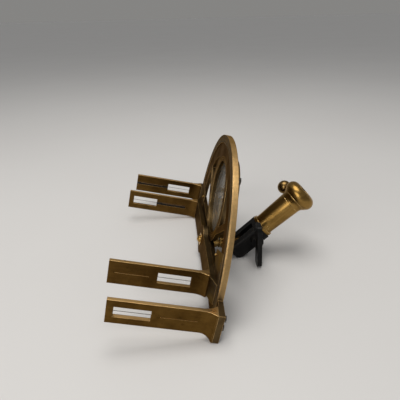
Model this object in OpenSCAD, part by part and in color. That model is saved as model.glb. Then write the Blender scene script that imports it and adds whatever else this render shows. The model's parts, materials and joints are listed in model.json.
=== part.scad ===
// Graphometer: a half-circle angle measurer with four upright sights, a compass and a ball-jointed socket.
// Plate frame: x along the diameter, y up the plate, z square to its graduated face, which is z = 0.
// The finished instrument lies on a table, leaning back on the wing of its ball joint's clamp screw.

/* [Limb] */
// Outer radius of the half circle
limb_r = 110; // [100:1:125]
// Radial width of the half ring
limb_w = 22; // [16:1:26]
// Thickness of the cast plate
plate_t = 4.3; // [3.4:0.1:6]
// Depth of the diameter bar below its middle line
bar_below = 15.9; // [12.6:0.1:17]
// Width of the two webs between the compass seat and the half ring
web_w = 6; // [4:0.5:8]
// Direction of the webs' lower edges above the diameter, in degrees
web_angle = 36.5; // [34:0.5:42]
// Backward lean of the plate as the instrument lies, in degrees
lean = 12.5; // [8:0.25:13]

/* [Graduated arc] */
// Radial width of the graduated arc
arc_w = 8; // [6:0.5:10]
// Thickness of the graduated arc
arc_t = 0.8; // [0.7:0.1:2]
// Length of the arc's ends below the diameter
arc_tail = 3; // [1:0.5:8]
// Number of screws that hold the arc from behind
arc_screws_n = 2; // [2:1:5]
// Diameter of the arc screws' heads
arc_head_d = 6; // [4:0.5:7]
// Height of the arc screws' heads
arc_head_h = 2.5; // [1.5:0.1:3]

/* [Sights] */
// Width of a sight blade
sight_w = 21; // [18:1:23]
// Thickness of a sight blade
sight_t = 3.5; // [3:0.1:5]
// Height of a sight above its seat
sight_h = 83; // [75:1:95]
// Spread of a sight's foot beyond each face of the blade
foot_spread = 3.5; // [2.5:0.1:4.5]
// Height over which the foot spreads
foot_rise = 10; // [6:0.5:11]
// Thickness of the flat pad under the foot
pad_t = 1; // [0.6:0.1:2]
// Width of a window
window_w = 9.6; // [7:0.1:12]
// Length of a window and of a slit
window_l = 28.2; // [22:0.2:30]
// Distance from a blade's tip to its upper opening
window_edge = 5.4; // [4:0.2:8]
// Bar left between the upper and the lower opening
window_gap = 7; // [4:0.5:9]
// Width of the sighting slit
slit_w = 0.4; // [0.3:0.1:1]
// Width of the channel behind the slit
channel_w = 3.2; // [1.4:0.1:4]
// Depth of the channel behind the slit
channel_depth = 2.4; // [1.5:0.1:2.7]
// Diameter of the sighting wire
hair_d = 0.4; // [0.2:0.1:0.8]
// Distance of the fixed sights' outer faces beyond the limb
fixed_sight_out = 14; // [12:0.5:20]
// Distance of the alidade sights' outer faces inside the limb's edge
alidade_sight_in = 24; // [22:0.5:30]

/* [Alidade] */
// Turn of the alidade from the diameter, in degrees
alidade_angle = 4.57; // [0:0.01:4.6]
// Thickness of the alidade
alidade_t = 5; // [4:0.1:6]
// Width of the alidade's arms
arm_w = 19.5; // [18:0.5:22]
// Radius of the round middle of the alidade
hub_r = 14.5; // [13:0.5:18]
// Radius of the fillets between the arms and the middle
hub_fillet = 14; // [8:1:20]
// Radial width of a vernier plate
vernier_w = 30; // [24:1:34]
// Angle that a vernier spans above the alidade's middle line
vernier_span = 20; // [14:1:24]
// Depth of a vernier and of the bevelled ends below the alidade's middle line
vernier_below = 8.7; // [7:0.1:9]
// Thickness of the alidade's bevelled ends at their edges
bevel_edge_t = 0.8; // [0.5:0.1:2]
// Diameter of the pivot pin
pivot_d = 6; // [5:0.2:6.6]
// Diameter of the pivot screw's domed head
pivot_head_d = 7.6; // [7.2:0.2:12]
// Height of the pivot screw's domed head
pivot_head_h = 3; // [2.4:0.1:4.2]

/* [Compass] */
// Gap between the compass seat and the graduated arc
seat_clear = 7; // [3:0.5:8]
// Height of the compass seat's lowest point above the diameter
seat_foot = 6; // [2:0.5:8]
// Radial width of the compass seat
seat_w = 4.5; // [4:0.1:5.5]
// Thickness of the compass box's wall
box_wall = 1.5; // [1.2:0.1:2]
// Thickness of the compass box's floor
box_floor = 1.5; // [1:0.1:2]
// Height of the compass box
box_h = 13; // [12.8:0.1:14]
// Radial width of the bezel ring
bezel_w = 2.4; // [2:0.1:4]
// Height of the bezel ring
bezel_h = 3.6; // [2.4:0.1:3.8]
// Thickness of the compass glass
glass_t = 1.2; // [0.8:0.1:1.4]
// Length of the needle
needle_l = 58; // [50:1:64]
// Width of the needle at its middle
needle_w = 5; // [4:0.5:7]

/* [Ball joint] */
// Distance of the ball's centre behind the graduated face
ball_offset = 36.5; // [34:0.5:40]
// Radius of the ball
ball_r = 7.8; // [7.4:0.1:8.4]
// Diameter of the ball's neck
neck_d = 7; // [6:0.2:7]
// Diameter of the ribbed boss that carries the neck
boss_d = 12.6; // [11.6:0.2:13]
// Length of the ribbed boss
boss_l = 16; // [14:0.5:17]
// Tilt of the socket from the line square to the plate, in degrees
tilt = 54.7; // [48:0.1:60]
// Gap between the jaws
jaw_gap = 8; // [7.6:0.1:9]
// Width across both jaws
jaw_w = 26; // [23:0.5:28]
// Height of the jaws behind the ball
jaw_h = 16.2; // [13:0.2:17]
// Radius of the jaws round the ball
eye_r = 8.4; // [7.9:0.1:9.8]
// Length of the jaws from the ball's centre to the socket
jaw_l = 31; // [30:0.5:36]
// Distance of the wing screw from the jaws' socket end
wing_from_socket = 10.1; // [9.8:0.1:11.5]
// Thickness of the wing
wing_t = 4.5; // [2.5:0.1:5]
// Reach of the wing beyond the clamp jaw
wing_reach = 20; // [16:0.5:22]
// Lean of the wing from upright as the instrument lies, in degrees
wing_lean = 2; // [0:0.1:8]
// Diameter of the wing screw's shank
wing_screw_d = 6; // [5:0.2:6.4]

/* [Socket] */
// Outer diameter of the socket tube at its foot
socket_d = 20.8; // [20:0.2:22]
// Outer diameter of the socket tube under its collar
socket_top_d = 23.2; // [22.4:0.2:25]
// Bore of the socket
bore_d = 16.5; // [15:0.1:17]
// Length from the ball's centre to the socket's mouth
socket_end = 88; // [82:0.5:100]
// Length of the jaw's plug inside the tube
plug_l = 12; // [9:0.5:15]
// Diameter of the ring at the foot of the tube
foot_ring_d = 24; // [23:0.5:27]
// Length of the ring at the foot of the tube
foot_ring_l = 2.7; // [2:0.1:5]
// Length of the collar on the tube
collar_l = 19; // [18:0.5:21]
// Outer diameter of the rounded lip
lip_d = 33.2; // [31:0.2:35]
// Length of the rounded lip
lip_l = 14.4; // [12:0.2:15]
// Distance of the clamp screw from the mouth
clamp_from_mouth = 14.25; // [14:0.25:15.5]
// Turn of the clamp screw round the socket from its side next to the plate, in degrees
clamp_turn = 72; // [60:1:80]
// Diameter of the clamp screw's ball head
clamp_head_d = 14; // [11:0.2:15]

/* [Fits] */
// Radial clearance of pieces that stay together
fit_gap = 0.05; // [0.03:0.01:0.08]
// Radial clearance of pieces that turn in each other
run_gap = 0.06; // [0.03:0.01:0.1]
// Clearance between flat faces that slide past each other
slide_gap = 0.15; // [0.1:0.01:0.3]

/* [Hidden] */
$fn = 96;

// Colours of the finishes
brass = [0.62, 0.47, 0.20];
dark_brass = [0.40, 0.31, 0.15];
silvered = [0.78, 0.75, 0.66];
black_iron = [0.10, 0.10, 0.11];
steel = [0.55, 0.56, 0.58];
blued = [0.16, 0.20, 0.34];

// Levels along z
back_z = -arc_t - plate_t;
// Extra length that lets a cutting tool pass a face
cut = 1;

// Where the lugs and sights stand
fixed_sight_r = limb_r + fixed_sight_out;
alidade_sight_r = limb_r - alidade_sight_in;
bar_above = sight_w / 2;
lug_end = fixed_sight_r + foot_spread;
lug_margin = 1.5;
lug_start = fixed_sight_r - sight_t - foot_spread - lug_margin;
arm_end = alidade_sight_r + foot_spread;
// Screws in the feet of the sights
foot_screw_d = 2.4;
foot_head_d = 5.2;
foot_head_h = 2.2;
foot_screw_in = 6.2;
foot_screw_y = sight_w / 2 - foot_screw_in;
foot_screw_depth = 6;

// Graduated arc and the screws behind it
arc_mid_r = limb_r - arc_w / 2;
arc_screw_d = 2.4;
arc_screw_end = 59;
// Slots in the screws' heads
screw_slot_w = 0.7;
screw_slot_depth = 0.3;

// Compass: the seat fills the space between the diameter and the arc
seat_r = (limb_r - arc_w - seat_clear - seat_foot) / 2;
compass_y = seat_foot + seat_r;
hole_r = seat_r - seat_w;
box_r = hole_r - 3 * fit_gap;
box_top = -arc_t - 2 * slide_gap;
box_bottom = box_top - box_h;
box_inner_r = box_r - box_wall;
ledge_w = 1.5;
glass_top = box_top - bezel_h;
glass_bottom = glass_top - glass_t;
dial_t = 0.5;
dial_r = box_inner_r - ledge_w - 3 * fit_gap;
dial_top = box_bottom + box_floor + dial_t;
chapter_w = 6.5;
chapter_h = 2.2;
tab_r = seat_w / 2;
tab_t = 1.5;
tab_screw_d = 1.6;
tab_screw_head_d = 3;
tab_screw_head_h = 1;
tab_at = hole_r + seat_w / 2;
// Needle, its pivot and its cap
needle_t = 0.8;
needle_eye_w = 1.2;
cap_r = 3.2;
cap_h = 2.8;
cap_clear = 2.6;
cap_bottom = dial_top + cap_clear;
cap_bore_l = 1.95;
point_r = 0.8;
point_l = 0.9;
point_end_r = 0.1;
point_from = cap_bottom + 1;
needle_z = cap_bottom + 1;
// Lever that lifts the needle off its pivot
lifter_from_ring = 5.2;
lifter_l = dial_r - chapter_w - lifter_from_ring;
lifter_w = 3.6;
lifter_t = 0.6;
lifter_clear = 0.8;
lifter_z = dial_top + lifter_clear;
lifter_eye_r = 3;
lifter_hole_r = 1.5;
lifter_pin_r = 0.45;
ear_gap = lifter_w + 2 * slide_gap;
ear_t = 1;
ear_l = 2.6;
lifter_screw_arm = 10;
lifter_screw_at = lifter_l - lifter_screw_arm;
lifter_screw_r = 1.2;
lifter_head_r = 4;
lifter_head_h = 4.5;

// Pivot of the alidade
washer_t = 0.8;
washer_r = 6.4;
pivot_r = pivot_d / 2;
pivot_top = alidade_t + washer_t + slide_gap;
pivot_root = 4;
pivot_shank_r = 1.3;
pivot_shank_l = 6;

// Verniers slide on the plate, level with the arc
vernier_t = arc_t - slide_gap;
vernier_gap = 0.4;
vernier_r = limb_r - arc_w - vernier_gap;
knob_r = 1.2;
knob_h = 2;
knob_from_edge = 4;

// Ball joint
boss_end = back_z - boss_l;
neck_r = neck_d / 2;
stem_end_gap = 0.6;
stem_top = back_z - pivot_root - stem_end_gap;
keeper_depth = 4.5;
keeper_z = stem_top - keeper_depth;
keeper_r = 1;
keeper_groove_r = 2.5;
keeper_groove_l = 2.4;
keeper_head_r = 1.8;
keeper_head_h = 1.2;
rib_r = 1;
rib_pitch = 3;
ball_gap = 0.08;
jaw_round_r = 14;
base_l = 6;
jaw_split = 0.3;
wing_at = jaw_l - wing_from_socket;
wing_seat_r = 6;
wing_seat_l = 8;
wing_round = 5;
wing_root = 1;
rise = tilt - lean;

// Socket
socket_r = socket_d / 2;
socket_top_r = socket_top_d / 2;
bore_r = bore_d / 2;
spigot_wall = 2.15;
spigot_r = bore_r + spigot_wall;
plug_step = 0.6;
plug_bore_r = bore_r - plug_step;
plug_r = plug_bore_r - fit_gap;
lip_r = lip_l / 2;
lip_mid_r = lip_d / 2 - lip_r;
lip_at = socket_end - lip_r;
collar_from = socket_end - collar_l;
flare_spread = 2.3;
flare_rise = 5.7;
bead_r = 0.8;
bead_mid_r = socket_top_r + flare_spread - bead_r / 2;
bead_at = collar_from + flare_rise + bead_r / 2;
rivet_r = 1.5;
rivet_l = 6;
rivet_at = jaw_l + foot_ring_l + 2 * rivet_r;
clamp_at = socket_end - clamp_from_mouth;
clamp_shank_r = 2;
clamp_boss_r = 3.4;
clamp_head_r = clamp_head_d / 2;
clamp_lip_gap = 0.7;
// The ball head stands just clear of the lip
clamp_head_at = lip_mid_r
  + sqrt(pow(lip_r + clamp_head_r + clamp_lip_gap, 2) - pow(lip_at - clamp_at, 2));
clamp_boss_top = clamp_head_at - clamp_head_r - slide_gap;
clamp_tip_gap = 0.2;
clamp_tip = bore_r + clamp_tip_gap;

// Pose: the bar's lower edge lies on z = 0, and the box's middle is over the origin
centre_z = bar_below * cos(lean) - back_z * sin(lean);
lowest_tip_y = -alidade_sight_r * sin(alidade_angle) - sight_w / 2 * cos(alidade_angle);
reach_front = lowest_tip_y * sin(lean) - (alidade_t + sight_h) * cos(lean);
reach_back = ball_offset * cos(lean) + lip_at * cos(rise) + lip_mid_r * sin(rise) + lip_r;
centre_x = -(reach_front + reach_back) / 2;
// The wing's lower end stands on z = 0
wing_axis_z = centre_z - ball_offset * sin(lean) + wing_at * sin(rise);
wing_half = (wing_axis_z - wing_t / 2 * sin(wing_lean)) / cos(wing_lean);

module in_plate() {
  translate([centre_x, 0, centre_z]) rotate([0, lean, 0]) rotate([90, 0, -90]) children();
}

module on_alidade() {
  in_plate() rotate([0, 0, alidade_angle]) children();
}

module at_compass() {
  in_plate() translate([0, compass_y, 0]) children();
}

// Socket frame: x along the diameter, z from the ball's centre to the mouth, -y towards the plate
module in_socket() {
  in_plate() translate([0, 0, -ball_offset]) rotate([180 + tilt, 0, 0]) children();
}

module at_both_ends() {
  children();
  mirror([1, 0, 0]) children();
}

// Screw along z with its head below its seat
module rear_screw(d, seat, l, head_d, head_h) {
  difference() {
    union() {
      translate([0, 0, seat]) cylinder(d = d, h = l);
      translate([0, 0, seat - head_h]) cylinder(d = head_d, h = head_h);
    }
    translate([-head_d, -screw_slot_w / 2, seat - head_h - cut])
      cube([2 * head_d, screw_slot_w, screw_slot_depth + cut]);
  }
}

module screw_hole(d, from, l) {
  translate([0, 0, from]) cylinder(d = d + 2 * fit_gap, h = l);
}

// Upper half of a disc, with a tail below the diameter
module half_disc(r, tail) {
  intersection() {
    circle(r = r);
    translate([-r, -tail]) square([2 * r, r + tail]);
  }
}

module half_ring(outer, width, tail) {
  difference() {
    half_disc(outer, tail);
    circle(r = outer - width);
  }
}

module at_arc_screws() {
  for (i = [0 : arc_screws_n - 1])
    rotate([0, 0, arc_screw_end + i * (180 - 2 * arc_screw_end) / (arc_screws_n - 1)])
      translate([arc_mid_r, 0, 0]) children();
}

module at_foot_screws(r) {
  at_both_ends()
    for (side = [-1, 1]) translate([r - sight_t / 2, side * foot_screw_y, 0]) children();
}

module at_tabs() {
  for (a = [45 : 90 : 315]) rotate([0, 0, a]) translate([tab_at, 0, 0]) children();
}

// Where a web leaves the compass seat, measured from the limb's centre
function web_start() =
  compass_y * sin(web_angle) + sqrt(seat_r * seat_r - pow(compass_y * cos(web_angle), 2)) - seat_w;

module web() {
  rotate([0, 0, web_angle]) translate([web_start(), 0]) square([limb_r - limb_w / 2 - web_start(), web_w]);
}

module plate_outline() {
  difference() {
    union() {
      half_ring(limb_r, limb_w, 0);
      translate([-lug_end, -bar_below]) square([2 * lug_end, bar_below + bar_above]);
      translate([0, compass_y]) circle(r = seat_r);
      web();
      mirror([1, 0]) web();
    }
    translate([0, compass_y]) circle(r = hole_r);
  }
}

module limb_plate() {
  color(brass) in_plate() difference() {
    union() {
      translate([0, 0, back_z]) linear_extrude(plate_t) plate_outline();
      at_both_ends() translate([lug_start, -bar_below, back_z])
        cube([lug_end - lug_start, bar_below + bar_above, -back_z]);
    }
    screw_hole(pivot_d, back_z - cut, plate_t + 2 * cut);
    at_arc_screws() screw_hole(arc_screw_d, back_z - cut, plate_t + 2 * cut);
    at_foot_screws(fixed_sight_r) screw_hole(foot_screw_d, back_z - cut, 2 * cut - back_z);
    translate([0, compass_y, 0]) at_tabs() screw_hole(tab_screw_d, back_z - cut, plate_t / 2 + cut);
  }
}

module graduated_arc() {
  color(silvered) in_plate() difference() {
    translate([0, 0, -arc_t]) linear_extrude(arc_t) half_ring(limb_r, arc_w, arc_tail);
    at_arc_screws() screw_hole(arc_screw_d, -arc_t - cut, arc_t / 2 + cut);
  }
}

module arc_screws() {
  color(steel) in_plate() at_arc_screws()
    rear_screw(arc_screw_d, back_z, plate_t + arc_t / 2 - fit_gap, arc_head_d, arc_head_h);
}

// Hollow flare that leaves the line x = 0 smoothly at y = rise and spreads towards y = 0
module cove(spread, rise) {
  hollow_r = (spread * spread + rise * rise) / (2 * spread);
  difference() {
    square([spread, rise]);
    translate([hollow_r, rise]) circle(r = hollow_r);
  }
}

// Section of a sight, x outwards from its outer face
module sight_section() {
  translate([-sight_t, 0]) square([sight_t, sight_h]);
  translate([-sight_t - foot_spread, 0]) square([sight_t + 2 * foot_spread, pad_t]);
  translate([0, pad_t]) cove(foot_spread, foot_rise);
  translate([-sight_t, pad_t]) mirror([1, 0]) cove(foot_spread, foot_rise);
}

// Front view of a sight whose foot spreads downwards by the given length
module sight_front(spread) {
  translate([-sight_w / 2, 0]) square([sight_w, sight_h]);
  if (spread > 0) {
    translate([-sight_w / 2 - spread, 0]) square([spread + sight_w / 2, pad_t]);
    translate([-sight_w / 2, pad_t]) mirror([1, 0]) cove(spread, foot_rise);
  }
}

function upper_opening() = sight_h - window_edge - window_l;
function lower_opening() = upper_opening() - window_gap - window_l;
function window_z(at_tip) = at_tip ? upper_opening() : lower_opening();

module upright_slot(width, from_x, depth, z, l) {
  translate([from_x, -width / 2, z]) cube([depth, width, l]);
}

// A sight with a window in one half and a slit in the other, whose channel opens into the window
module sight(spread, at_tip) {
  channel_from = at_tip ? lower_opening() : lower_opening() + window_l;
  channel_to = at_tip ? upper_opening() : sight_h;
  difference() {
    intersection() {
      rotate([90, 0, 0]) linear_extrude(2 * sight_w + 2 * spread, center = true) sight_section();
      rotate([90, 0, 90])
        linear_extrude(4 * foot_spread + 2 * sight_t, center = true) sight_front(spread);
    }
    upright_slot(window_w, -sight_t - cut, sight_t + 2 * cut, window_z(at_tip), window_l);
    upright_slot(slit_w, -sight_t - cut, sight_t + 2 * cut, window_z(!at_tip), window_l);
    upright_slot(channel_w, -sight_t - cut, channel_depth + cut, channel_from - cut,
      channel_to - channel_from + 2 * cut);
    for (side = [-1, 1])
      translate([-sight_t / 2, side * foot_screw_y, 0])
        screw_hole(foot_screw_d, -cut, foot_screw_depth + cut);
  }
}

module hair(at_tip) {
  translate([-sight_t / 2, 0, window_z(at_tip)]) cylinder(d = hair_d, h = window_l);
}

module near_fixed_sight() {
  color(brass) in_plate() translate([fixed_sight_r, 0, 0]) sight(bar_below - sight_w / 2, true);
}

module far_fixed_sight() {
  color(brass) in_plate() mirror([1, 0, 0])
    translate([fixed_sight_r, 0, 0]) sight(bar_below - sight_w / 2, false);
}

module near_alidade_sight() {
  color(brass) on_alidade() translate([alidade_sight_r, 0, alidade_t]) sight(0, false);
}

module far_alidade_sight() {
  color(brass) on_alidade() mirror([1, 0, 0])
    translate([alidade_sight_r, 0, alidade_t]) sight(0, true);
}

module near_fixed_hair() {
  color(steel) in_plate() translate([fixed_sight_r, 0, 0]) hair(true);
}

module far_fixed_hair() {
  color(steel) in_plate() mirror([1, 0, 0]) translate([fixed_sight_r, 0, 0]) hair(false);
}

module near_alidade_hair() {
  color(steel) on_alidade() translate([alidade_sight_r, 0, alidade_t]) hair(false);
}

module far_alidade_hair() {
  color(steel) on_alidade() mirror([1, 0, 0]) translate([alidade_sight_r, 0, alidade_t]) hair(true);
}

module fixed_sight_screws() {
  color(steel) in_plate() at_foot_screws(fixed_sight_r)
    rear_screw(foot_screw_d, back_z, foot_screw_depth - back_z - fit_gap, foot_head_d, foot_head_h);
}

module pivot_pin() {
  color(steel) in_plate() difference() {
    translate([0, 0, back_z - pivot_root]) cylinder(r = pivot_r, h = pivot_top - back_z + pivot_root);
    screw_hole(2 * pivot_shank_r, pivot_top - pivot_shank_l, pivot_shank_l + cut);
  }
}

// Domed head as a slice of a ball
module dome(d, h) {
  ball = (d * d / 4 + h * h) / (2 * h);
  intersection() {
    translate([0, 0, h - ball]) sphere(r = ball);
    cylinder(d = d, h = h);
  }
}

module pivot_screw() {
  color(brass) in_plate() translate([0, 0, pivot_top]) {
    dome(pivot_head_d, pivot_head_h);
    translate([0, 0, fit_gap - pivot_shank_l]) cylinder(r = pivot_shank_r, h = pivot_shank_l);
  }
}

module hub_fillet_patch() {
  // Hollow fillet along an arm's edge, which bites a hair into the round middle so that their edges cross
  bite = 0.01;
  fillet_y = arm_w / 2 + hub_fillet;
  fillet_x = sqrt(pow(hub_r + hub_fillet - bite, 2) - fillet_y * fillet_y);
  difference() {
    polygon([[0, 0], [fillet_x, 0], [fillet_x, arm_w / 2], [fillet_x, fillet_y]]);
    translate([fillet_x, fillet_y]) circle(r = hub_fillet);
  }
}

module alidade_outline() {
  square([2 * arm_end, arm_w], center = true);
  circle(r = hub_r);
  for (mx = [0, 1]) for (my = [0, 1]) mirror([mx, 0]) mirror([0, my]) hub_fillet_patch();
}

// End of an arm beyond its sight, bevelled down to the vernier's edge
module arm_bevel() {
  fall = (alidade_t - bevel_edge_t) / (vernier_r - arm_end);
  intersection() {
    translate([0, arm_w / 2, 0]) rotate([90, 0, 0]) linear_extrude(arm_w / 2 + vernier_below)
      polygon([[arm_end - cut, 0], [arm_end - cut, alidade_t], [arm_end, alidade_t],
        [vernier_r + cut, bevel_edge_t - fall * cut], [vernier_r + cut, 0]]);
    cylinder(r = vernier_r, h = alidade_t + cut);
  }
}

module alidade_bar() {
  hub_boss_r = washer_r;
  color(brass) on_alidade() difference() {
    union() {
      linear_extrude(alidade_t) alidade_outline();
      at_both_ends() arm_bevel();
      translate([0, 0, slide_gap - arc_t]) cylinder(r = hub_boss_r, h = arc_t);
    }
    translate([0, 0, -arc_t - cut]) cylinder(r = pivot_r + run_gap, h = arc_t + alidade_t + 2 * cut);
    at_foot_screws(alidade_sight_r) screw_hole(foot_screw_d, -cut, alidade_t + 2 * cut);
  }
}

module alidade_washer() {
  color(brass) on_alidade() translate([0, 0, alidade_t]) difference() {
    cylinder(r = washer_r, h = washer_t);
    translate([0, 0, -cut]) cylinder(r = pivot_r + run_gap, h = washer_t + 2 * cut);
  }
}

// Half of the plane above a line through the centre
module half_plane(angle, size) {
  rotate([0, 0, angle]) translate([-size, 0]) square([2 * size, size]);
}

module vernier_outline() {
  intersection() {
    difference() {
      circle(r = vernier_r);
      circle(r = vernier_r - vernier_w);
    }
    translate([0, -vernier_below]) square(2 * limb_r);
    half_plane(vernier_span - 180, 2 * limb_r);
  }
}

module vernier() {
  difference() {
    translate([0, 0, -vernier_t]) linear_extrude(vernier_t) vernier_outline();
    for (side = [-1, 1])
      translate([alidade_sight_r - sight_t / 2, side * foot_screw_y, 0])
        screw_hole(foot_head_d, -vernier_t - cut, vernier_t + 2 * cut);
  }
}

module near_vernier() {
  color(silvered) on_alidade() vernier();
}

module far_vernier() {
  color(silvered) on_alidade() mirror([1, 0, 0]) vernier();
}

module vernier_knobs() {
  knob_angle = vernier_span - asin(knob_from_edge / (vernier_r - vernier_w));
  color(brass) on_alidade()
    for (side = [0, 1]) mirror([side, 0, 0])
      rotate([0, 0, knob_angle]) translate([vernier_r - vernier_w + knob_from_edge, 0, 0])
        dome(2 * knob_r, knob_h);
}

module alidade_sight_screws() {
  color(steel) on_alidade() at_foot_screws(alidade_sight_r)
    rear_screw(foot_screw_d, 0, alidade_t + foot_screw_depth - fit_gap, foot_head_d, vernier_t - fit_gap);
}

module compass_box() {
  color(dark_brass) at_compass() {
    difference() {
      translate([0, 0, box_bottom]) cylinder(r = box_r, h = box_h);
      translate([0, 0, glass_bottom]) cylinder(r = box_inner_r, h = box_h);
      translate([0, 0, box_bottom + box_floor]) cylinder(r = box_inner_r - ledge_w, h = box_h);
      translate([-lifter_screw_at, 0, box_bottom - cut])
        cylinder(r = lifter_screw_r + run_gap, h = box_floor + 2 * cut);
    }
    difference() {
      at_tabs() translate([0, 0, back_z - tab_t]) {
        cylinder(r = tab_r, h = tab_t);
        translate([-seat_w, -tab_r, 0]) cube([seat_w, 2 * tab_r, tab_t]);
      }
      translate([0, 0, box_bottom]) cylinder(r = box_r - box_wall / 2, h = box_h);
      at_tabs() screw_hole(tab_screw_d, back_z - tab_t - cut, tab_t + 2 * cut);
    }
  }
}

module compass_box_screws() {
  shank_l = tab_t + plate_t / 2 - fit_gap;
  color(steel) at_compass() at_tabs()
    rear_screw(tab_screw_d, back_z - tab_t, shank_l, tab_screw_head_d, tab_screw_head_h);
}

module compass_bezel() {
  color(brass) at_compass() difference() {
    translate([0, 0, glass_top]) cylinder(r = box_inner_r - fit_gap, h = bezel_h);
    translate([0, 0, glass_top - cut]) cylinder(r = box_inner_r - bezel_w, h = bezel_h + 2 * cut);
  }
}

module compass_glass() {
  color([0.8, 0.85, 0.85, 0.4]) at_compass()
    translate([0, 0, glass_bottom]) cylinder(r = box_inner_r - fit_gap, h = glass_t);
}

module compass_dial() {
  color(silvered) at_compass() difference() {
    union() {
      translate([0, 0, dial_top - dial_t]) cylinder(r = dial_r, h = dial_t);
      translate([0, 0, dial_top - dial_t]) difference() {
        cylinder(r = dial_r, h = dial_t + chapter_h);
        translate([0, 0, -cut]) cylinder(r = dial_r - chapter_w, h = dial_t + chapter_h + 2 * cut);
      }
    }
    translate([-lifter_screw_at, 0, dial_top - dial_t - cut])
      cylinder(r = lifter_screw_r + 2 * run_gap, h = dial_t + 2 * cut);
  }
}

module needle_pivot() {
  color(steel) at_compass() {
    translate([0, 0, dial_top]) cylinder(r = point_r, h = point_from - dial_top);
    translate([0, 0, point_from]) cylinder(r1 = point_r, r2 = point_end_r, h = point_l);
  }
}

module needle_cap() {
  color(brass) at_compass() difference() {
    translate([0, 0, cap_bottom]) cylinder(r = cap_r, h = cap_h);
    translate([0, 0, cap_bottom - cut]) cylinder(r = point_r + run_gap, h = cap_bore_l + cut);
  }
}

module compass_needle() {
  color(blued) at_compass() rotate([0, 0, 24]) difference() {
    translate([0, 0, needle_z]) linear_extrude(needle_t) {
      polygon([[needle_l / 2, 0], [0, needle_w / 2], [-needle_l / 2, 0], [0, -needle_w / 2]]);
      circle(r = cap_r + needle_eye_w);
    }
    translate([0, 0, needle_z - cut]) cylinder(r = cap_r + fit_gap, h = needle_t + 2 * cut);
  }
}

module lifter_bracket() {
  color(brass) at_compass() for (side = [-1, 1])
    translate([-lifter_l, side * (ear_gap + ear_t) / 2, dial_top]) difference() {
      translate([-ear_l / 2, -ear_t / 2, 0]) cube([ear_l, ear_t, 2 * (lifter_z - dial_top) + lifter_t]);
      translate([0, 0, lifter_z + lifter_t / 2 - dial_top]) rotate([90, 0, 0])
        cylinder(r = lifter_pin_r + run_gap, h = ear_t + 2 * cut, center = true);
    }
}

module needle_lifter() {
  color(brass) at_compass() {
    translate([0, 0, lifter_z]) linear_extrude(lifter_t) difference() {
      union() {
        circle(r = lifter_eye_r);
        translate([-lifter_l - lifter_w / 4, -lifter_w / 2]) square([lifter_l + lifter_w / 4, lifter_w]);
      }
      circle(r = lifter_hole_r);
    }
    translate([-lifter_l, 0, lifter_z + lifter_t / 2]) rotate([90, 0, 0])
      cylinder(r = lifter_pin_r, h = ear_gap + 2 * ear_t, center = true);
  }
}

module lifter_screw() {
  head_top = box_bottom - slide_gap;
  shank_l = lifter_z - slide_gap - head_top;
  color(brass) at_compass() translate([-lifter_screw_at, 0, head_top]) {
    cylinder(r = lifter_screw_r, h = shank_l);
    translate([0, 0, -lifter_head_h]) cylinder(r = lifter_head_r, h = lifter_head_h);
  }
}

module stem_boss() {
  stem_bore_l = stem_top - boss_end + slide_gap;
  color(brass) in_plate() difference() {
    translate([0, 0, boss_end]) cylinder(d = boss_d, h = boss_l);
    screw_hole(pivot_d, back_z - pivot_root, pivot_root + cut);
    translate([0, 0, boss_end - cut]) cylinder(r = neck_r + run_gap, h = stem_bore_l + cut);
    for (i = [0 : 2]) translate([0, 0, boss_end + rib_pitch * (i + 0.5)])
      rotate_extrude() translate([boss_d / 2, 0]) circle(r = rib_r);
    translate([0, 0, keeper_z]) rotate([0, -90, 0]) cylinder(r = keeper_r + fit_gap, h = boss_d);
  }
}

module stem_keeper() {
  color(steel) in_plate() translate([0, 0, keeper_z]) rotate([0, -90, 0]) {
    translate([0, 0, keeper_groove_r + slide_gap]) cylinder(r = keeper_r, h = boss_d / 2 - keeper_groove_r);
    translate([0, 0, boss_d / 2]) cylinder(r = keeper_head_r, h = keeper_head_h);
  }
}

module ball_stem() {
  color(brass) in_plate() difference() {
    union() {
      translate([0, 0, -ball_offset]) sphere(r = ball_r);
      translate([0, 0, -ball_offset]) cylinder(r = neck_r, h = ball_offset + stem_top);
    }
    translate([0, 0, keeper_z - keeper_groove_l / 2]) difference() {
      cylinder(r = neck_r + cut, h = keeper_groove_l);
      translate([0, 0, -cut]) cylinder(r = keeper_groove_r, h = keeper_groove_l + 2 * cut);
    }
  }
}

// One jaw between two planes square to the diameter, ending short of the socket by the given length
module jaw_cheek(from_x, to_x, l) {
  intersection() {
    translate([from_x, 0, 0]) rotate([90, 0, 90]) linear_extrude(to_x - from_x) {
      circle(r = eye_r);
      translate([-jaw_h / 2, 0]) square([jaw_h, l]);
    }
    translate([0, 0, -2 * eye_r]) cylinder(r = jaw_round_r, h = jaw_l + 4 * eye_r);
  }
}

module wing_bore(d) {
  translate([0, 0, wing_at]) rotate([0, 90, 0]) cylinder(d = d, h = 2 * jaw_w, center = true);
}

// Outer radius of the tapered tube at a height above the ball's centre
function tube_r(z) = socket_r + (socket_top_r - socket_r) * (z - jaw_l) / (collar_from - jaw_l);

module at_rivets() {
  for (side = [-1, 1])
    translate([0, 0, rivet_at]) rotate([0, side * 90, 0])
      translate([0, 0, tube_r(rivet_at) - rivet_l]) children();
}

module fixed_jaw() {
  color(black_iron) in_socket() difference() {
    union() {
      jaw_cheek(-jaw_w / 2, -jaw_gap / 2, jaw_l);
      intersection() {
        translate([-jaw_w / 2, -jaw_h / 2, jaw_l - base_l]) cube([jaw_w, jaw_h, base_l]);
        cylinder(r = jaw_round_r, h = jaw_l);
      }
      translate([0, 0, jaw_l]) cylinder(r = plug_r, h = plug_l);
    }
    sphere(r = ball_r + ball_gap);
    wing_bore(wing_screw_d + 2 * run_gap);
    at_rivets() cylinder(r = rivet_r + fit_gap, h = rivet_l + cut);
  }
}

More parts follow.
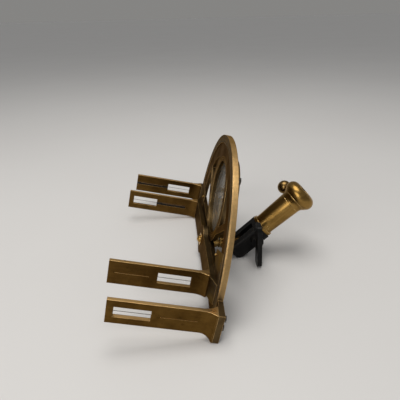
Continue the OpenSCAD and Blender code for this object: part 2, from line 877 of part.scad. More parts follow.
module clamp_jaw() {
  color(black_iron) in_socket() difference() {
    jaw_cheek(jaw_gap / 2, jaw_w / 2, jaw_l - base_l - jaw_split);
    sphere(r = ball_r + ball_gap);
    wing_bore(wing_screw_d + 2 * run_gap);
  }
}

module wing_outline() {
  // Rounded plate, x along the screw
  far_x = jaw_w / 2 + wing_reach;
  near_x = jaw_w / 2 + wing_seat_l - wing_root;
  translate([near_x, -wing_half]) square([far_x - near_x - wing_round, 2 * wing_half]);
  translate([near_x, wing_round - wing_half]) square([far_x - near_x, 2 * (wing_half - wing_round)]);
  for (side = [-1, 1])
    translate([far_x - wing_round, side * (wing_half - wing_round)]) circle(r = wing_round);
}

module wing_screw() {
  shank_l = jaw_w;
  color(black_iron) in_socket() translate([0, 0, wing_at]) {
    translate([-jaw_w / 2, 0, 0]) rotate([0, 90, 0]) cylinder(d = wing_screw_d, h = shank_l + cut);
    translate([jaw_w / 2, 0, 0]) rotate([0, 90, 0]) cylinder(r = wing_seat_r, h = wing_seat_l);
    rotate([180 - rise + wing_lean, 0, 0]) linear_extrude(wing_t, center = true) wing_outline();
  }
}

// Frame of the clamp screw, z from the socket's axis to its head
module at_clamp() {
  translate([0, 0, clamp_at]) rotate([0, 0, -clamp_turn]) rotate([90, 0, 0]) children();
}

module clamp_bore() {
  at_clamp() cylinder(r = clamp_shank_r + run_gap, h = clamp_head_at);
}

module socket_tube() {
  color(brass) in_socket() difference() {
    union() {
      translate([0, 0, jaw_l]) cylinder(r1 = socket_r, r2 = socket_top_r, h = collar_from - jaw_l);
      translate([0, 0, collar_from - cut]) cylinder(r = spigot_r, h = collar_l + cut);
      translate([0, 0, jaw_l]) cylinder(d = foot_ring_d, h = foot_ring_l);
    }
    translate([0, 0, jaw_l - cut]) cylinder(r = plug_bore_r, h = plug_l + 2 * cut);
    translate([0, 0, jaw_l + plug_l]) cylinder(r = bore_r, h = socket_end - jaw_l);
    at_rivets() cylinder(r = rivet_r + fit_gap, h = rivet_l + cut);
    clamp_bore();
  }
}

module socket_collar() {
  color(brass) in_socket() difference() {
    union() {
      translate([0, 0, lip_at]) rotate_extrude() translate([lip_mid_r, 0]) circle(r = lip_r);
      translate([0, 0, collar_from]) cylinder(r = socket_top_r, h = lip_at - collar_from);
      translate([0, 0, collar_from + flare_rise]) rotate_extrude()
        translate([socket_top_r, 0]) mirror([0, 1]) cove(flare_spread, flare_rise);
      translate([0, 0, bead_at]) rotate_extrude() translate([bead_mid_r, 0]) circle(r = bead_r);
      at_clamp() cylinder(r = clamp_boss_r, h = clamp_boss_top);
    }
    translate([0, 0, collar_from - cut]) cylinder(r = spigot_r + fit_gap, h = collar_l + 2 * cut);
    clamp_bore();
  }
}

module socket_rivets() {
  color(dark_brass) in_socket() at_rivets() cylinder(r = rivet_r, h = rivet_l);
}

module clamp_screw() {
  color(brass) in_socket() at_clamp() {
    translate([0, 0, clamp_tip]) cylinder(r = clamp_shank_r, h = clamp_head_at - clamp_tip);
    translate([0, 0, clamp_head_at]) sphere(r = clamp_head_r);
  }
}

limb_plate();
graduated_arc();
arc_screws();
near_fixed_sight();
far_fixed_sight();
fixed_sight_screws();
near_fixed_hair();
far_fixed_hair();
pivot_pin();
pivot_screw();
compass_box();
compass_box_screws();
compass_bezel();
compass_glass();
compass_dial();
needle_pivot();
lifter_bracket();
stem_boss();
stem_keeper();
alidade_bar();
alidade_washer();
near_vernier();
far_vernier();
vernier_knobs();
near_alidade_sight();
far_alidade_sight();
alidade_sight_screws();
near_alidade_hair();
far_alidade_hair();
compass_needle();
needle_cap();
needle_lifter();
lifter_screw();
ball_stem();
fixed_jaw();
clamp_jaw();
wing_screw();
socket_tube();
socket_collar();
socket_rivets();
clamp_screw();
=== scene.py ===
"""Looks of the graphometer: the finishes of its brass, iron and glass, the engraved scales,
the floor, the light and the camera."""

import json
import math

import bpy
import numpy as np
from mathutils import Matrix, Vector


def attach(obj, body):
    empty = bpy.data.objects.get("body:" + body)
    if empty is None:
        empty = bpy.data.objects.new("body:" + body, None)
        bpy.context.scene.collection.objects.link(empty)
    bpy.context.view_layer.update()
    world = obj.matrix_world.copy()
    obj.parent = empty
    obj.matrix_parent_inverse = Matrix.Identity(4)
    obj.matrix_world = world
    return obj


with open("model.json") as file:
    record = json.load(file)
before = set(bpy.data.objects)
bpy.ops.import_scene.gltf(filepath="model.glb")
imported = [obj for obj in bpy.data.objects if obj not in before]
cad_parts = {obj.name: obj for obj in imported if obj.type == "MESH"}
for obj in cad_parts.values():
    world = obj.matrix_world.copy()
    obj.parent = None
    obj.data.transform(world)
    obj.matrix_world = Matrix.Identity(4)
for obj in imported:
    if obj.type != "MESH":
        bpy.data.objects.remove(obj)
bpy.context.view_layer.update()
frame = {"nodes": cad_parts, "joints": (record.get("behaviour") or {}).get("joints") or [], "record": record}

MM = 0.001

# Plate frame: x along the diameter towards the near end, y up the plate, z square to the graduated face
JOINTS = {joint["name"]: joint for joint in frame["joints"]}
CENTRE = np.array(JOINTS["alidade_turn"]["pos_m"])
FACE_NORMAL = np.array(JOINTS["alidade_turn"]["axis"])
ALONG = np.array([0.0, -1.0, 0.0])
UP_PLATE = np.cross(FACE_NORMAL, ALONG)
PLATE_AXES = np.array([ALONG, UP_PLATE, FACE_NORMAL])
COMPASS_CENTRE = np.array(JOINTS["needle_swing"]["pos_m"])
SOCKET_PIVOT = np.array(JOINTS["ball_tilt"]["pos_m"])
MOUTH = np.array(frame["record"]["mounts"][0]["axis"])
LEAN = math.atan2(FACE_NORMAL[2], -FACE_NORMAL[0])
SOCKET_RISE = math.atan2(MOUTH[2], MOUTH[0])

# Engraving of the arc, in millimetres: lengths and widths of the lines at tens, fives, degrees and
# half degrees, then borders and figures by their distance from the inner edge
MARK_HEIGHT = 0.03
ARC_INNER_R = 102.0
ARC_MARGIN = 0.3
ARC_LENGTHS = (3.0, 2.5, 1.9, 1.2)
ARC_WIDTHS = (0.34, 0.30, 0.24, 0.16)
ARC_BORDERS = ((3.5, 0.26), (7.3, 0.30))
ARC_FIGURES_AT, ARC_FIGURES_H = 5.4, 2.5

# Engraving of the verniers: thirty parts, and the bevelled ends of the alidade that carry them
ALIDADE_TURN = math.radians(4.57)
ALIDADE_T = 5.0
VERNIER_R = 101.6
VERNIER_MARGIN = 0.3
VERNIER_PARTS = 30
VERNIER_SPAN_DEG = 14.5
VERNIER_LENGTHS = (2.8, 2.2, 1.5)
VERNIER_WIDTH = 0.20
VERNIER_FIGURES_AT, VERNIER_FIGURES_H = 4.8, 2.0
BEVEL_FROM = 89.5
BEVEL_EDGE_T = 0.8
BEVEL_SIDES = (-8.7, 9.75)

# Engraving of the compass dial: its raised ring, and the circles and star on the floor inside it
DIAL_RING_Z = 2.2
DIAL_INNER_R, DIAL_OUTER_R = 30.4, 36.5
DIAL_LENGTHS = (2.6, 1.5)
DIAL_WIDTH = 0.28
DIAL_RING_BORDERS = ((DIAL_OUTER_R - 2.9, 0.24), (DIAL_INNER_R + 0.3, 0.30))
DIAL_FIGURES_R, DIAL_FIGURES_H = DIAL_INNER_R + 1.75, 2.1
DIAL_FLOOR_CIRCLES = ((DIAL_INNER_R - 4.2, 0.3), (DIAL_INNER_R - 3.0, 0.15))
STAR_TIPS = 4
STAR_TIP_R, STAR_NOTCH_R = DIAL_INNER_R - 6.0, 4.0

# Channels behind the sights' slits, in millimetres
FIXED_SIGHT_R = 124.0
ALIDADE_SIGHT_R = 86.0
SIGHT_T = 3.5
CHANNEL_W = 3.2
CHANNEL_DEPTH = 2.4
SLIT_W = 0.4
CHANNEL_UNDER_WINDOW = (14.2, 49.4)
CHANNEL_OVER_WINDOW = (42.4, 83.0)
LINING_T = 0.06


# Surfaces

UNIT_BOX = np.array([[i, j, k] for k in (0, 1) for j in (0, 1) for i in (0, 1)], float)
BOX_FACES = np.array(
    [[0, 2, 3, 1], [4, 5, 7, 6], [0, 1, 5, 4], [2, 6, 7, 3], [0, 4, 6, 2], [1, 3, 7, 5]]
)
FIGURE_SIZE = 1.4  # type size for a figure of unit height


def plate_points(points, origin=CENTRE, turn=0.0):
    """Points in millimetres in the plate frame, turned about its z axis, as points of the row
    frame in metres."""
    c, s = math.cos(turn), math.sin(turn)
    spin = np.array([[c, -s, 0.0], [s, c, 0.0], [0.0, 0.0, 1.0]])
    return origin + (np.asarray(points, float) @ spin.T) @ PLATE_AXES * MM


def dark_piece(name, points, faces, body):
    """A mesh object in the black finish of the engraving that rides on a body."""
    mesh = bpy.data.meshes.new(name)
    mesh.from_pydata(np.asarray(points).tolist(), [], faces)
    mesh.materials.append(ENGRAVING)
    piece = bpy.data.objects.new(name, mesh)
    bpy.context.scene.collection.objects.link(piece)
    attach(piece, body)


def box_faces(count):
    """The faces of a number of boxes whose corners follow each other."""
    return (np.arange(count)[:, None, None] * len(UNIT_BOX) + BOX_FACES).reshape(-1, 4)


def boxes(lows, highs):
    """Upright boxes between lists of low and high corners: a unit box's corners, stretched between them."""
    lows, highs = np.asarray(lows, float)[:, None], np.asarray(highs, float)[:, None]
    return (lows + (highs - lows) * UNIT_BOX).reshape(-1, 3), box_faces(len(lows))


def radial_marks(angles_deg, inner_r, outer_r, width, base_z):
    """Thin bars, one for each angle, from the inner to the outer radius: the corners of a unit box,
    stretched to the bar's length, width and height, then turned to the bar's angle."""
    angles = np.radians(np.asarray(angles_deg, float))[:, None]
    count = len(angles)
    inner, outer, wide = (np.broadcast_to(size, (count,))[:, None] for size in (inner_r, outer_r, width))
    r = inner + (outer - inner) * UNIT_BOX[:, 0]
    side = wide * (UNIT_BOX[:, 1] - 0.5)
    z = np.broadcast_to(base_z + UNIT_BOX[:, 2] * MARK_HEIGHT, r.shape)
    x = r * np.cos(angles) - side * np.sin(angles)
    y = r * np.sin(angles) + side * np.cos(angles)
    return np.stack([x, y, z], -1).reshape(-1, 3), box_faces(count)


def ring_line(radius, width, base_z, end_deg=360.0, steps=180):
    """A thin engraved circle or part of one: a small rectangle carried round the centre, closed
    at its ends."""
    a = np.radians(np.linspace(0.0, end_deg, steps + 1))[:, None]
    r = radius + np.array([-0.5, 0.5, 0.5, -0.5]) * width
    z = base_z + np.array([0.0, 0.0, 1.0, 1.0]) * MARK_HEIGHT
    z = np.broadcast_to(z, (steps + 1, 4))
    points = np.stack([r * np.cos(a), r * np.sin(a), z], -1).reshape(-1, 3)
    i = np.arange(steps)[:, None] * 4
    k = np.arange(4)
    after = (k + 1) % 4
    faces = np.stack([i + k, i + 4 + k, i + 4 + after, i + after], -1).reshape(-1, 4)[:, ::-1]
    last = steps * 4
    caps = [[0, 1, 2, 3], [last + 3, last + 2, last + 1, last]]
    return points, np.vstack([faces, caps])


def figure(label, height):
    """One raised figure: the points and triangles of its outline, centred on the origin."""
    curve = bpy.data.curves.new("figure", "FONT")
    curve.body, curve.size, curve.extrude = label, height * FIGURE_SIZE, MARK_HEIGHT / 2
    curve.align_x, curve.align_y, curve.resolution_u = "CENTER", "CENTER", 3
    text = bpy.data.objects.new("figure", curve)
    mesh = bpy.data.meshes.new_from_object(text)
    points = np.empty(len(mesh.vertices) * 3)
    mesh.vertices.foreach_get("co", points)
    mesh.calc_loop_triangles()
    triangles = np.empty(len(mesh.loop_triangles) * 3, int)
    mesh.loop_triangles.foreach_get("vertices", triangles)
    bpy.data.objects.remove(text)
    bpy.data.curves.remove(curve)
    bpy.data.meshes.remove(mesh)
    return points.reshape(-1, 3), triangles.reshape(-1, 3)


def numerals(numbers, angles_deg, radius, height, base_z):
    """Figures set round a circle with their heads outwards: each one turned to its angle and moved
    out to the radius."""
    placed = []
    for number, angle in zip(numbers, np.radians(angles_deg)):
        points, triangles = figure(str(number), height)
        c, s = math.cos(angle), math.sin(angle)
        flat = points[:, :2] @ np.array([[s, -c], [c, s]]) + radius * np.array([c, s])
        placed.append((np.column_stack([flat, points[:, 2] + base_z + MARK_HEIGHT / 2]), triangles))
    return merged(*placed)


def merged(*parts):
    """Several pairs of points and faces as one."""
    points, faces, start = [], [], 0
    for part_points, part_faces in parts:
        points.append(part_points)
        faces += (np.asarray(part_faces) + start).tolist()
        start += len(part_points)
    return np.vstack(points), faces


def star(tips, tip_r, notch_r, base_z):
    """A flat star: radii that alternate between tip and notch, given a small height and closed by
    triangles to its middle."""
    count = 2 * tips
    i = np.arange(count)
    a = np.radians(i * 180.0 / tips)
    r = np.where(i % 2 == 0, tip_r, notch_r)
    rim = np.stack([r * np.cos(a), r * np.sin(a)], -1)
    low = np.column_stack([rim, np.full(count, base_z)])
    high = np.column_stack([rim, np.full(count, base_z + MARK_HEIGHT)])
    middle = np.array([[0.0, 0.0, base_z], [0.0, 0.0, base_z + MARK_HEIGHT]])
    after = (i + 1) % count
    first_sides = np.stack([i, after, count + after], -1)
    second_sides = np.stack([i, count + after, count + i], -1)
    under = np.stack([after, i, np.full(count, 2 * count)], -1)
    over = np.stack([count + i, count + after, np.full(count, 2 * count + 1)], -1)
    return np.vstack([low, high, middle]), np.vstack([first_sides, second_sides, under, over])


# Finishes


class Value:
    """A node socket. Arithmetic on it adds Math nodes."""

    def __init__(self, finish, socket):
        self.finish, self.socket = finish, socket

    def _math(self, operation, first, second, clamp=False):
        settings = {"operation": operation, "use_clamp": clamp}
        return self.finish.node("ShaderNodeMath", settings, {0: first, 1: second})

    def __add__(self, other):
        return self._math("ADD", self, other)

    __radd__ = __add__

    def __sub__(self, other):
        return self._math("SUBTRACT", self, other)

    def __rsub__(self, other):
        return self._math("SUBTRACT", other, self)

    def __mul__(self, other):
        return self._math("MULTIPLY", self, other)

    __rmul__ = __mul__

    def clamped(self):
        return self._math("ADD", self, 0.0, clamp=True)


class Nodes:
    """A node tree and the ways to add to it."""

    def __init__(self, tree):
        self.tree = tree

    def node(self, kind, settings=None, sockets=None, out=0):
        """A node of one type: its settings first, then the values or links of its sockets."""
        made = self.tree.nodes.new(kind)
        for key, value in (settings or {}).items():
            setattr(made, key, value)
        for key, value in (sockets or {}).items():
            if isinstance(value, Value):
                self.tree.links.new(value.socket, made.inputs[key])
            else:
                made.inputs[key].default_value = value
        return Value(self, made.outputs[out])

    def mix(self, factor, first, second):
        """A colour between two colours."""

        def colour(c):
            return c if isinstance(c, Value) else (*c, 1.0)

        sockets = {0: factor, 6: colour(first), 7: colour(second)}
        return self.node("ShaderNodeMix", {"data_type": "RGBA"}, sockets, out=2)


class Finish(Nodes):
    """A node material with one Principled shader."""

    def __init__(self, name, **fixed):
        self.material = bpy.data.materials.new(name)
        self.material.use_nodes = True
        super().__init__(self.material.node_tree)
        self.shader = self.tree.nodes["Principled BSDF"]
        for socket, value in fixed.items():
            self.shader.inputs[socket.replace("_", " ")].default_value = value

    def feed(self, **values):
        """Links values to the shader's sockets."""
        for key, value in values.items():
            self.tree.links.new(value.socket, self.shader.inputs[key.replace("_", " ")])
        return self

    def place(self, turn=(0.0, 0.0, 0.0), stretch=(1.0, 1.0, 1.0), centre=(0.0, 0.0, 0.0)):
        """Object coordinates, moved to a centre, turned back by the given angles and stretched."""
        moved = self.node("ShaderNodeTexCoord", out=3)
        sockets = {0: moved, "Location": centre, "Rotation": turn}
        moved = self.node("ShaderNodeMapping", {"vector_type": "TEXTURE"}, sockets)
        return self.node("ShaderNodeMapping", {"vector_type": "POINT"}, {0: moved, "Scale": stretch})

    def noise(self, where, scale, detail=3.0, rough=0.55):
        sockets = {"Vector": where, "Scale": scale, "Detail": detail, "Roughness": rough}
        return self.node("ShaderNodeTexNoise", {}, sockets)

    def vector(self, operation, first, second=(0.0, 0.0, 0.0), out=1):
        """A Vector Math node, whose output 1 is a number."""
        return self.node("ShaderNodeVectorMath", {"operation": operation}, {0: first, 1: second}, out)

    def edge(self, radius, gain):
        """Mask of sharp edges, by how far the rounded normal turns away from the face's own, and
        that rounded normal."""
        rounded = self.node("ShaderNodeBevel", {"samples": 6}, {"Radius": radius})
        own = self.node("ShaderNodeNewGeometry", {}, out=1)
        return ((1.0 - self.vector("DOT_PRODUCT", rounded, own)) * gain).clamped(), rounded

    def band(self, value, low, high):
        """0 below low, 1 above high and a straight slope between."""
        return ((value - low) * (1.0 / (high - low))).clamped()

    def bump(self, height, strength, distance, normal):
        sockets = {"Strength": strength, "Distance": distance, "Height": height, "Normal": normal}
        return self.node("ShaderNodeBump", {}, sockets)


# Turns of the patterns, and how fine the grain is along each axis, per metre
PLATE_TURN = (0.0, LEAN, 0.0)
SOCKET_TURN = (0.0, math.pi / 2 - SOCKET_RISE, 0.0)
ALONG_NORMAL = (45.0, 900.0, 900.0)
ALONG_BAR = (900.0, 45.0, 900.0)
ALONG_TUBE = (600.0, 600.0, 30.0)
EVEN = (300.0, 300.0, 300.0)

# How fine the marks of age on brass are, per metre, and how far edges are rubbed, in metres
TARNISH_SCALE, WEAR_SCALE, SPOT_SCALE = 55.0, 140.0, 260.0
BRASS_EDGE, IRON_EDGE, STEEL_EDGE = 0.0007, 0.0006, 0.0003


def brass(
    name,
    tones,
    grain,
    turn=PLATE_TURN,
    centre=CENTRE,
    rough=(0.34, 0.52),
    wear=0.8,
    stain=0.5,
    rim=None,
    glance=(1.0, 0.9, 0.75),
    rubbed_and_lit_sides=0.0,
    relief=0.12,
):
    """Brass: tarnish in soft patches, grain lines, dark spots, bright edges, and rubbed rim or sides with a
    painted highlight.

    tones are the dark tarnish, the lighter tarnish and the rubbed metal, which is also the colour of the
    painted highlight. rim is the radius in metres, measured around the plate's axis, at which the metal is
    rubbed and lightened by a painted highlight, most of all near the top.
    The sides argument is how far the faces that look up or down the plate are rubbed, with a painted
    highlight on those that look up. glance tints what shows at a glancing angle, and relief is the depth of
    the grain.
    """
    dark, mid, bright = tones
    f = Finish(name, Metallic=1.0, Specular_Tint=(*glance, 1.0))
    even = f.place(turn, centre=tuple(centre))
    streaks = f.noise(f.place(turn, grain, tuple(centre)), 1.0, 4.0, 0.6)
    grain_lines = streaks - 0.5
    patches = f.band(f.noise(even, TARNISH_SCALE, 4.0, 0.6), 0.36, 0.66)
    spots = f.band(f.noise(even, SPOT_SCALE, 3.0, 0.6), 0.60, 0.72)
    worn, rounded = f.edge(BRASS_EDGE, 9.0)
    worn = worn * f.band(f.noise(even, WEAR_SCALE, 3.0), 0.25, 0.6) * wear
    # The metal at the rim radius is rubbed and lightened by a painted highlight.
    if rim is not None:
        from_axis = f.vector("LENGTH", f.vector("MULTIPLY", even, (0.0, 1.0, 1.0), out=0))
        past_rim = f.band(from_axis, rim + 0.0002, rim + 0.0005)
        rim_wear_and_highlight = f.band(from_axis, rim - 0.0003, rim) * (1.0 - past_rim)
        height = f.node("ShaderNodeSeparateXYZ", {}, {0: even}, out=2)
        # Painted highlight: the rim grows lighter towards the top of the plate, where the light falls.
        rim_wear_and_highlight = rim_wear_and_highlight * (0.1 + 0.9 * f.band(height, 0.0, 0.07))
        worn = worn + rim_wear_and_highlight * (0.75 + patches * 0.25 + grain_lines * 0.5)
    # Painted highlight on the faces that look up the plate, with rubbed metal on these and the faces that
    # look down.
    if rubbed_and_lit_sides:
        facing = f.vector("DOT_PRODUCT", f.node("ShaderNodeTexCoord", out="Normal"), tuple(UP_PLATE))
        side = f.band(facing * facing, 0.90, 0.97)
        worn = worn + side * (0.6 + patches * 0.4 + grain_lines * 0.6) * rubbed_and_lit_sides
    worn = worn.clamped()
    tone = f.mix((patches * 0.7 + grain_lines * 0.9).clamped(), dark, mid)
    tone = f.mix(spots * stain, tone, tuple(c * 0.42 for c in dark))
    # The bright tone shows rubbed edges, and the painted highlight of the rim and sides.
    tone = f.mix(worn, tone, bright)
    smooth, dull = rough
    roughness = smooth + (dull - smooth) * (1.0 - patches) + grain_lines * 0.16 - worn * 0.08
    fine = f.bump(streaks + spots * -0.5, relief, 0.0002, rounded)
    return f.feed(Base_Color=tone, Roughness=roughness, Normal=fine).material


def black_paint(name):
    """Satin black on iron: fine pitting, dusty patches and edges rubbed to grey metal."""
    f = Finish(name, Metallic=0.0, Specular_IOR_Level=0.13)
    even = f.place()
    pits = f.noise(even, 900.0, 3.0)
    patches = f.band(f.noise(even, 90.0, 4.0), 0.4, 0.7)
    worn, rounded = f.edge(IRON_EDGE, 10.0)
    worn = worn * f.band(f.noise(even, 220.0, 3.0), 0.48, 0.62)
    tone = f.mix(patches * 0.6, (0.005, 0.005, 0.005), (0.014, 0.013, 0.012))
    tone = f.mix(worn, tone, (0.13, 0.11, 0.09))
    roughness = 0.30 + patches * 0.16 + (pits - 0.5) * 0.1
    fine = f.bump(pits, 0.25, 0.00012, rounded)
    return f.feed(Base_Color=tone, Roughness=roughness, Normal=fine).material


def silvered(name):
    """Silvered brass of the dial: pale, faintly brushed, yellowing in patches."""
    f = Finish(name, Metallic=0.85, Specular_Tint=(0.60, 0.50, 0.36, 1.0))
    patches = f.band(f.noise(f.place(PLATE_TURN, centre=tuple(COMPASS_CENTRE)), 70.0, 4.0), 0.42, 0.68)
    streaks = f.noise(f.place(PLATE_TURN, ALONG_BAR), 1.0)
    tone = f.mix(patches, (0.46, 0.40, 0.28), (0.34, 0.27, 0.16))
    return f.feed(Base_Color=tone, Roughness=0.36 + (streaks - 0.5) * 0.2 + patches * 0.1).material


def steel(name, dark, light, rough):
    """Steel of screws, wires and the needle: mottled between two tones, with scratched edges."""
    f = Finish(name, Metallic=1.0)
    patches = f.band(f.noise(f.place(), 320.0, 4.0), 0.35, 0.68)
    worn, rounded = f.edge(STEEL_EDGE, 8.0)
    tone = f.mix((patches + worn * 0.6).clamped(), dark, light)
    fine = f.bump(patches, 0.1, 0.0001, rounded)
    return f.feed(Base_Color=tone, Roughness=rough + patches * 0.14, Normal=fine).material


def window_glass(name):
    """Old flat glass: nearly clear, with a thin uneven film of dust."""
    f = Finish(name, Metallic=0.0, IOR=1.46)
    film = f.band(f.noise(f.place(), 130.0, 4.0), 0.35, 0.75)
    tone = f.mix(film, (0.30, 0.30, 0.28), (0.24, 0.23, 0.20))
    return f.feed(Base_Color=tone, Roughness=0.03 + film * 0.06, Alpha=0.14 + film * 0.10).material


def engraving(name):
    """Black wax in engraved lines, a little uneven."""
    f = Finish(name, Metallic=0.0)
    thin = f.band(f.noise(f.place(), 900.0, 3.0), 0.45, 0.7)
    tone = f.mix(thin, (0.012, 0.010, 0.008), (0.05, 0.04, 0.026))
    return f.feed(Base_Color=tone, Roughness=0.5 + thin * 0.2).material


# Brass tones: dark tarnish, lighter tarnish, and rubbed metal that also paints the highlight on rims and
# sides
RUBBED_AND_LIT = (0.84, 0.54, 0.23)
POLISHED = (0.92, 0.66, 0.30)
LIMB_TONES = ((0.085, 0.056, 0.026), (0.17, 0.115, 0.052), RUBBED_AND_LIT)
SCALE_TONES = ((0.15, 0.105, 0.055), (0.26, 0.185, 0.095), RUBBED_AND_LIT)
SIGHT_TONES = ((0.082, 0.042, 0.010), (0.155, 0.084, 0.021), RUBBED_AND_LIT)
ALIDADE_TONES = ((0.10, 0.068, 0.032), (0.18, 0.125, 0.06), RUBBED_AND_LIT)
BOX_TONES = ((0.10, 0.066, 0.028), (0.20, 0.135, 0.058), RUBBED_AND_LIT)
FITTING_TONES = ((0.34, 0.20, 0.055), (0.56, 0.35, 0.11), POLISHED)
SOCKET_TONES = ((0.23, 0.132, 0.034), (0.42, 0.255, 0.074), POLISHED)
# Darker copy of the fitting brass for the clamp screw's knob: painted shade.
KNOB_SHADED_TONES = ((0.16, 0.10, 0.035), (0.30, 0.19, 0.07), POLISHED)
DULL = (0.36, 0.29, 0.21)
LIMB_RIM = 0.11

FINISHES = {
    "limb_brass": brass("limb_brass", LIMB_TONES, ALONG_BAR, rim=LIMB_RIM, glance=DULL),
    "scale_brass": brass("scale_brass", SCALE_TONES, EVEN, stain=0.35, rim=LIMB_RIM, glance=DULL),
    "sight_brass": brass("sight_brass", SIGHT_TONES, ALONG_NORMAL, wear=0.3, glance=DULL, rubbed_and_lit_sides=1.0),
    "alidade_brass": brass("alidade_brass", ALIDADE_TONES, ALONG_BAR, glance=DULL),
    "fitting_brass": brass("fitting_brass", FITTING_TONES, EVEN, rough=(0.20, 0.34), stain=0.3),
    "socket_brass": brass(
        "socket_brass",
        SOCKET_TONES,
        ALONG_TUBE,
        SOCKET_TURN,
        SOCKET_PIVOT,
        rough=(0.27, 0.36),
        stain=0.35,
        relief=0.02,
    ),
    "box_brass": brass("box_brass", BOX_TONES, EVEN, glance=DULL),
    "dial_silver": silvered("dial_silver"),
    "compass_glass": window_glass("compass_glass"),
    "blued_steel": steel("blued_steel", (0.035, 0.05, 0.12), (0.10, 0.14, 0.28), 0.24),
    "black_iron": black_paint("black_iron"),
    "screw_steel": steel("screw_steel", (0.055, 0.048, 0.040), (0.20, 0.18, 0.155), 0.34),
    "sight_wire": steel("sight_wire", (0.06, 0.05, 0.035), (0.16, 0.13, 0.09), 0.40),
}
ENGRAVING = engraving("engraving_wax")

# Nodes whose finish differs from the rest of their slot
OWN_FINISHES = {
    # Painted shade: the knob wears a darker copy of the fitting brass, as if shaded by the socket's lip.
    "clamp_screw": brass("fitting_brass_shaded", KNOB_SHADED_TONES, EVEN, rough=(0.22, 0.36), stain=0.3),
    "alidade_washer": FINISHES["fitting_brass"],
    "compass_bezel": brass("bezel_brass", BOX_TONES, EVEN, rough=(0.30, 0.46), stain=0.3, glance=DULL),
}
for part in frame["record"]["subparts"]:
    node = frame["nodes"][part["node"]]
    node.data.materials.clear()
    node.data.materials.append(OWN_FINISHES.get(part["node"], FINISHES[part["material_slot"]]))


# Engraved scales


def scale_marks():
    """Half-degree, degree, five-degree and ten-degree lines round the arc, two border lines and the
    figures."""
    half = np.arange(0.0, 180.01, 0.5)
    kinds = [half % 10 == 0, half % 5 == 0, half % 1 == 0]
    length = np.select(kinds, ARC_LENGTHS[:3], ARC_LENGTHS[3])
    width = np.select(kinds, ARC_WIDTHS[:3], ARC_WIDTHS[3])
    tens = np.arange(0, 181, 10)
    start = ARC_INNER_R + ARC_MARGIN
    return merged(
        radial_marks(half, start, start + length, width, 0.0),
        *(ring_line(ARC_INNER_R + offset, line_w, 0.0, end_deg=180.0) for offset, line_w in ARC_BORDERS),
        numerals(tens, tens, ARC_INNER_R + ARC_FIGURES_AT, ARC_FIGURES_H, 0.0),
    )


def on_bevel(points):
    """Marks lifted onto the alidade's bevelled end: its height falls in a straight line from the arm
    to its edge."""
    x, y = np.abs(points[:, 0]), points[:, 1]
    slope = (BEVEL_EDGE_T - ALIDADE_T) / (VERNIER_R - BEVEL_FROM)
    on_arm = (y > BEVEL_SIDES[0]) & (y < BEVEL_SIDES[1])
    lift = np.where(on_arm, ALIDADE_T + slope * (x - BEVEL_FROM), 0.0)
    return points + np.outer(lift, [0.0, 0.0, 1.0])


def vernier_marks(far_end):
    """Thirty divisions over twenty-nine half degrees, counted up from the alidade's middle line."""
    divisions = np.arange(VERNIER_PARTS + 1)
    angles = divisions * VERNIER_SPAN_DEG / VERNIER_PARTS
    if far_end:
        angles = 180.0 - angles
    length = np.select([divisions % 10 == 0, divisions % 5 == 0], VERNIER_LENGTHS[:2], VERNIER_LENGTHS[2])
    tens = divisions[::10]
    end = VERNIER_R - VERNIER_MARGIN
    return merged(
        radial_marks(angles, end - length, end, VERNIER_WIDTH, 0.0),
        numerals(tens, angles[tens], VERNIER_R - VERNIER_FIGURES_AT, VERNIER_FIGURES_H, 0.0),
    )


def dial_marks():
    """Two-degree lines with longer tens on the compass ring, its border lines and figures, and a
    plain star and two circles on the floor inside it."""
    twos = np.arange(0.0, 360.0, 2.0)
    length = np.where(twos % 10 == 0, *DIAL_LENGTHS)
    thirties = np.arange(0, 360, 30)
    return merged(
        radial_marks(90.0 - twos, DIAL_OUTER_R - length, DIAL_OUTER_R, DIAL_WIDTH, DIAL_RING_Z),
        *(ring_line(radius, line_w, DIAL_RING_Z) for radius, line_w in DIAL_RING_BORDERS),
        numerals(thirties, 90.0 - thirties, DIAL_FIGURES_R, DIAL_FIGURES_H, DIAL_RING_Z),
        star(STAR_TIPS, STAR_TIP_R, STAR_NOTCH_R, 0.0),
        *(ring_line(radius, line_w, 0.0) for radius, line_w in DIAL_FLOOR_CIRCLES),
    )


def channel_lining(sight_r, seat_z, span, far_end):
    """Dark lining of a sight's channel: two floor strips beside the slit and two walls, as thin boxes,
    mirrored at the far end."""
    inner, floor = sight_r - SIGHT_T, sight_r - SIGHT_T + CHANNEL_DEPTH
    low, high = seat_z + span[0], seat_z + span[1]
    lows, highs = [], []
    for side in (-1.0, 1.0):
        across = np.sort(side * np.array([SLIT_W, CHANNEL_W]) / 2)
        lows.append((floor - LINING_T, across[0], low))
        highs.append((floor, across[1], high))
        across = np.sort(side * np.array([CHANNEL_W / 2 - LINING_T, CHANNEL_W / 2]))
        lows.append((inner + LINING_T, across[0], low))
        highs.append((floor, across[1], high))
    points, faces = boxes(lows, highs)
    if far_end:
        points, faces = points * np.array([-1.0, 1.0, 1.0]), faces[:, ::-1]
    return points, faces.tolist()


points, faces = scale_marks()
dark_piece("arc_scale", plate_points(points), faces, "limb")
for name, far_end in (("near_vernier_scale", False), ("far_vernier_scale", True)):
    points, faces = vernier_marks(far_end)
    dark_piece(name, plate_points(on_bevel(points), turn=ALIDADE_TURN), faces, "alidade")
points, faces = dial_marks()
dark_piece("dial_scale", plate_points(points, COMPASS_CENTRE), faces, "limb")

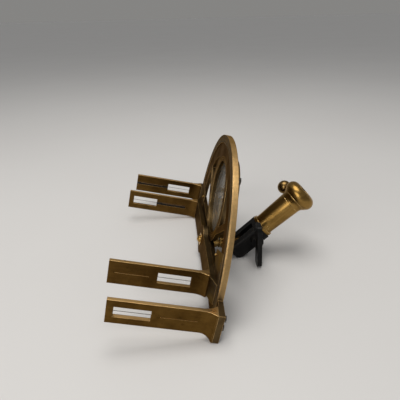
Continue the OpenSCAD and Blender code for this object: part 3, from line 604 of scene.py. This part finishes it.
# Dark linings make the floors and walls of the sights' channels show black.
# Name, body, radius, height of the seat, reach of the channel, and whether at the far end
CHANNELS = (
    ("near_fixed_channel", "limb", FIXED_SIGHT_R, 0.0, CHANNEL_UNDER_WINDOW, False),
    ("far_fixed_channel", "limb", FIXED_SIGHT_R, 0.0, CHANNEL_OVER_WINDOW, True),
    ("near_alidade_channel", "alidade", ALIDADE_SIGHT_R, ALIDADE_T, CHANNEL_OVER_WINDOW, False),
    ("far_alidade_channel", "alidade", ALIDADE_SIGHT_R, ALIDADE_T, CHANNEL_UNDER_WINDOW, True),
)
for name, body, sight_r, seat_z, span, far_end in CHANNELS:
    points, faces = channel_lining(sight_r, seat_z, span, far_end)
    turn = ALIDADE_TURN if body == "alidade" else 0.0
    dark_piece(name, plate_points(points, turn=turn), faces, body)


# Floor, light and camera

FLOOR_HALF = 60.0
FLOOR_TONES = ((0.60, 0.59, 0.58), (0.64, 0.635, 0.625))
LIGHT_TINT = (1.0, 0.97, 0.93)
LIGHT_POWER = 8.0
LIGHT_TARGET = Vector((0.0, 0.0, 0.05))
AMBIENT = (0.38, 0.38, 0.38)
BACKDROP = (0.235, 0.232, 0.225)
SEEN_RAYS = ("Is Camera Ray", "Is Glossy Ray", "Is Transmission Ray")


def floor_sheet():
    """A wide flat sheet under the object."""
    corners = [(x * FLOOR_HALF, y * FLOOR_HALF, 0.0) for x, y in ((-1, -1), (1, -1), (1, 1), (-1, 1))]
    mesh = bpy.data.meshes.new("floor")
    mesh.from_pydata(corners, [], [(0, 1, 2, 3)])
    f = Finish("floor_paper", Metallic=0.0, Roughness=0.75)
    f.feed(Base_Color=f.mix(f.noise(f.place(), 3.0), *FLOOR_TONES))
    mesh.materials.append(f.material)
    floor = bpy.data.objects.new("floor", mesh)
    bpy.context.scene.collection.objects.link(floor)


def soft_box(name, place, size):
    """A round soft light that looks at the object."""
    light = bpy.data.lights.new(name, "AREA")
    light.shape, light.size, light.energy, light.color = "DISK", size, LIGHT_POWER, LIGHT_TINT
    lamp = bpy.data.objects.new(name, light)
    bpy.context.scene.collection.objects.link(lamp)
    lamp.location = place
    lamp.rotation_euler = (LIGHT_TARGET - Vector(place)).to_track_quat("-Z", "Y").to_euler()


floor_sheet()
soft_box("top_light", (-0.05, 0.05, 1.20), 0.9)
soft_box("front_light", (-0.66, -0.98, 0.66), 1.0)

# The backdrop that the lens and the metal see is as dark as the far floor, so no line shows between them
world = bpy.data.worlds.new("studio")
bpy.context.scene.world = world
world.use_nodes = True
studio = Nodes(world.node_tree)
camera_ray, glossy_ray, passing_ray = (studio.node("ShaderNodeLightPath", out=ray) for ray in SEEN_RAYS)
sky = studio.mix((camera_ray + glossy_ray + passing_ray).clamped(), AMBIENT, BACKDROP)
studio.tree.links.new(sky.socket, studio.tree.nodes["Background"].inputs["Color"])

# Camera as the photograph was taken, in the plate frame in millimetres
VIEW_FROM = (349.11, 202.17, 64.05)
VIEW_ALONG = np.array([-0.9032, -0.4096, -0.1284])
VIEW_RIGHT = np.array([0.0509, 0.1948, -0.9795])
camera_data = bpy.data.cameras.new("camera")
camera_data.lens, camera_data.sensor_width = 34.88, 36.0
camera_data.clip_start = 0.01
camera = bpy.data.objects.new("camera", camera_data)
bpy.context.scene.collection.objects.link(camera)
back = -Vector(VIEW_ALONG @ PLATE_AXES).normalized()
right = Vector(VIEW_RIGHT @ PLATE_AXES)
up = back.cross(right).normalized()
axes = Matrix((up.cross(back), up, back)).transposed().to_4x4()
camera.matrix_world = Matrix.Translation(plate_points(VIEW_FROM)) @ axes
bpy.context.scene.camera = camera
bpy.context.scene.view_settings.view_transform = "Standard"
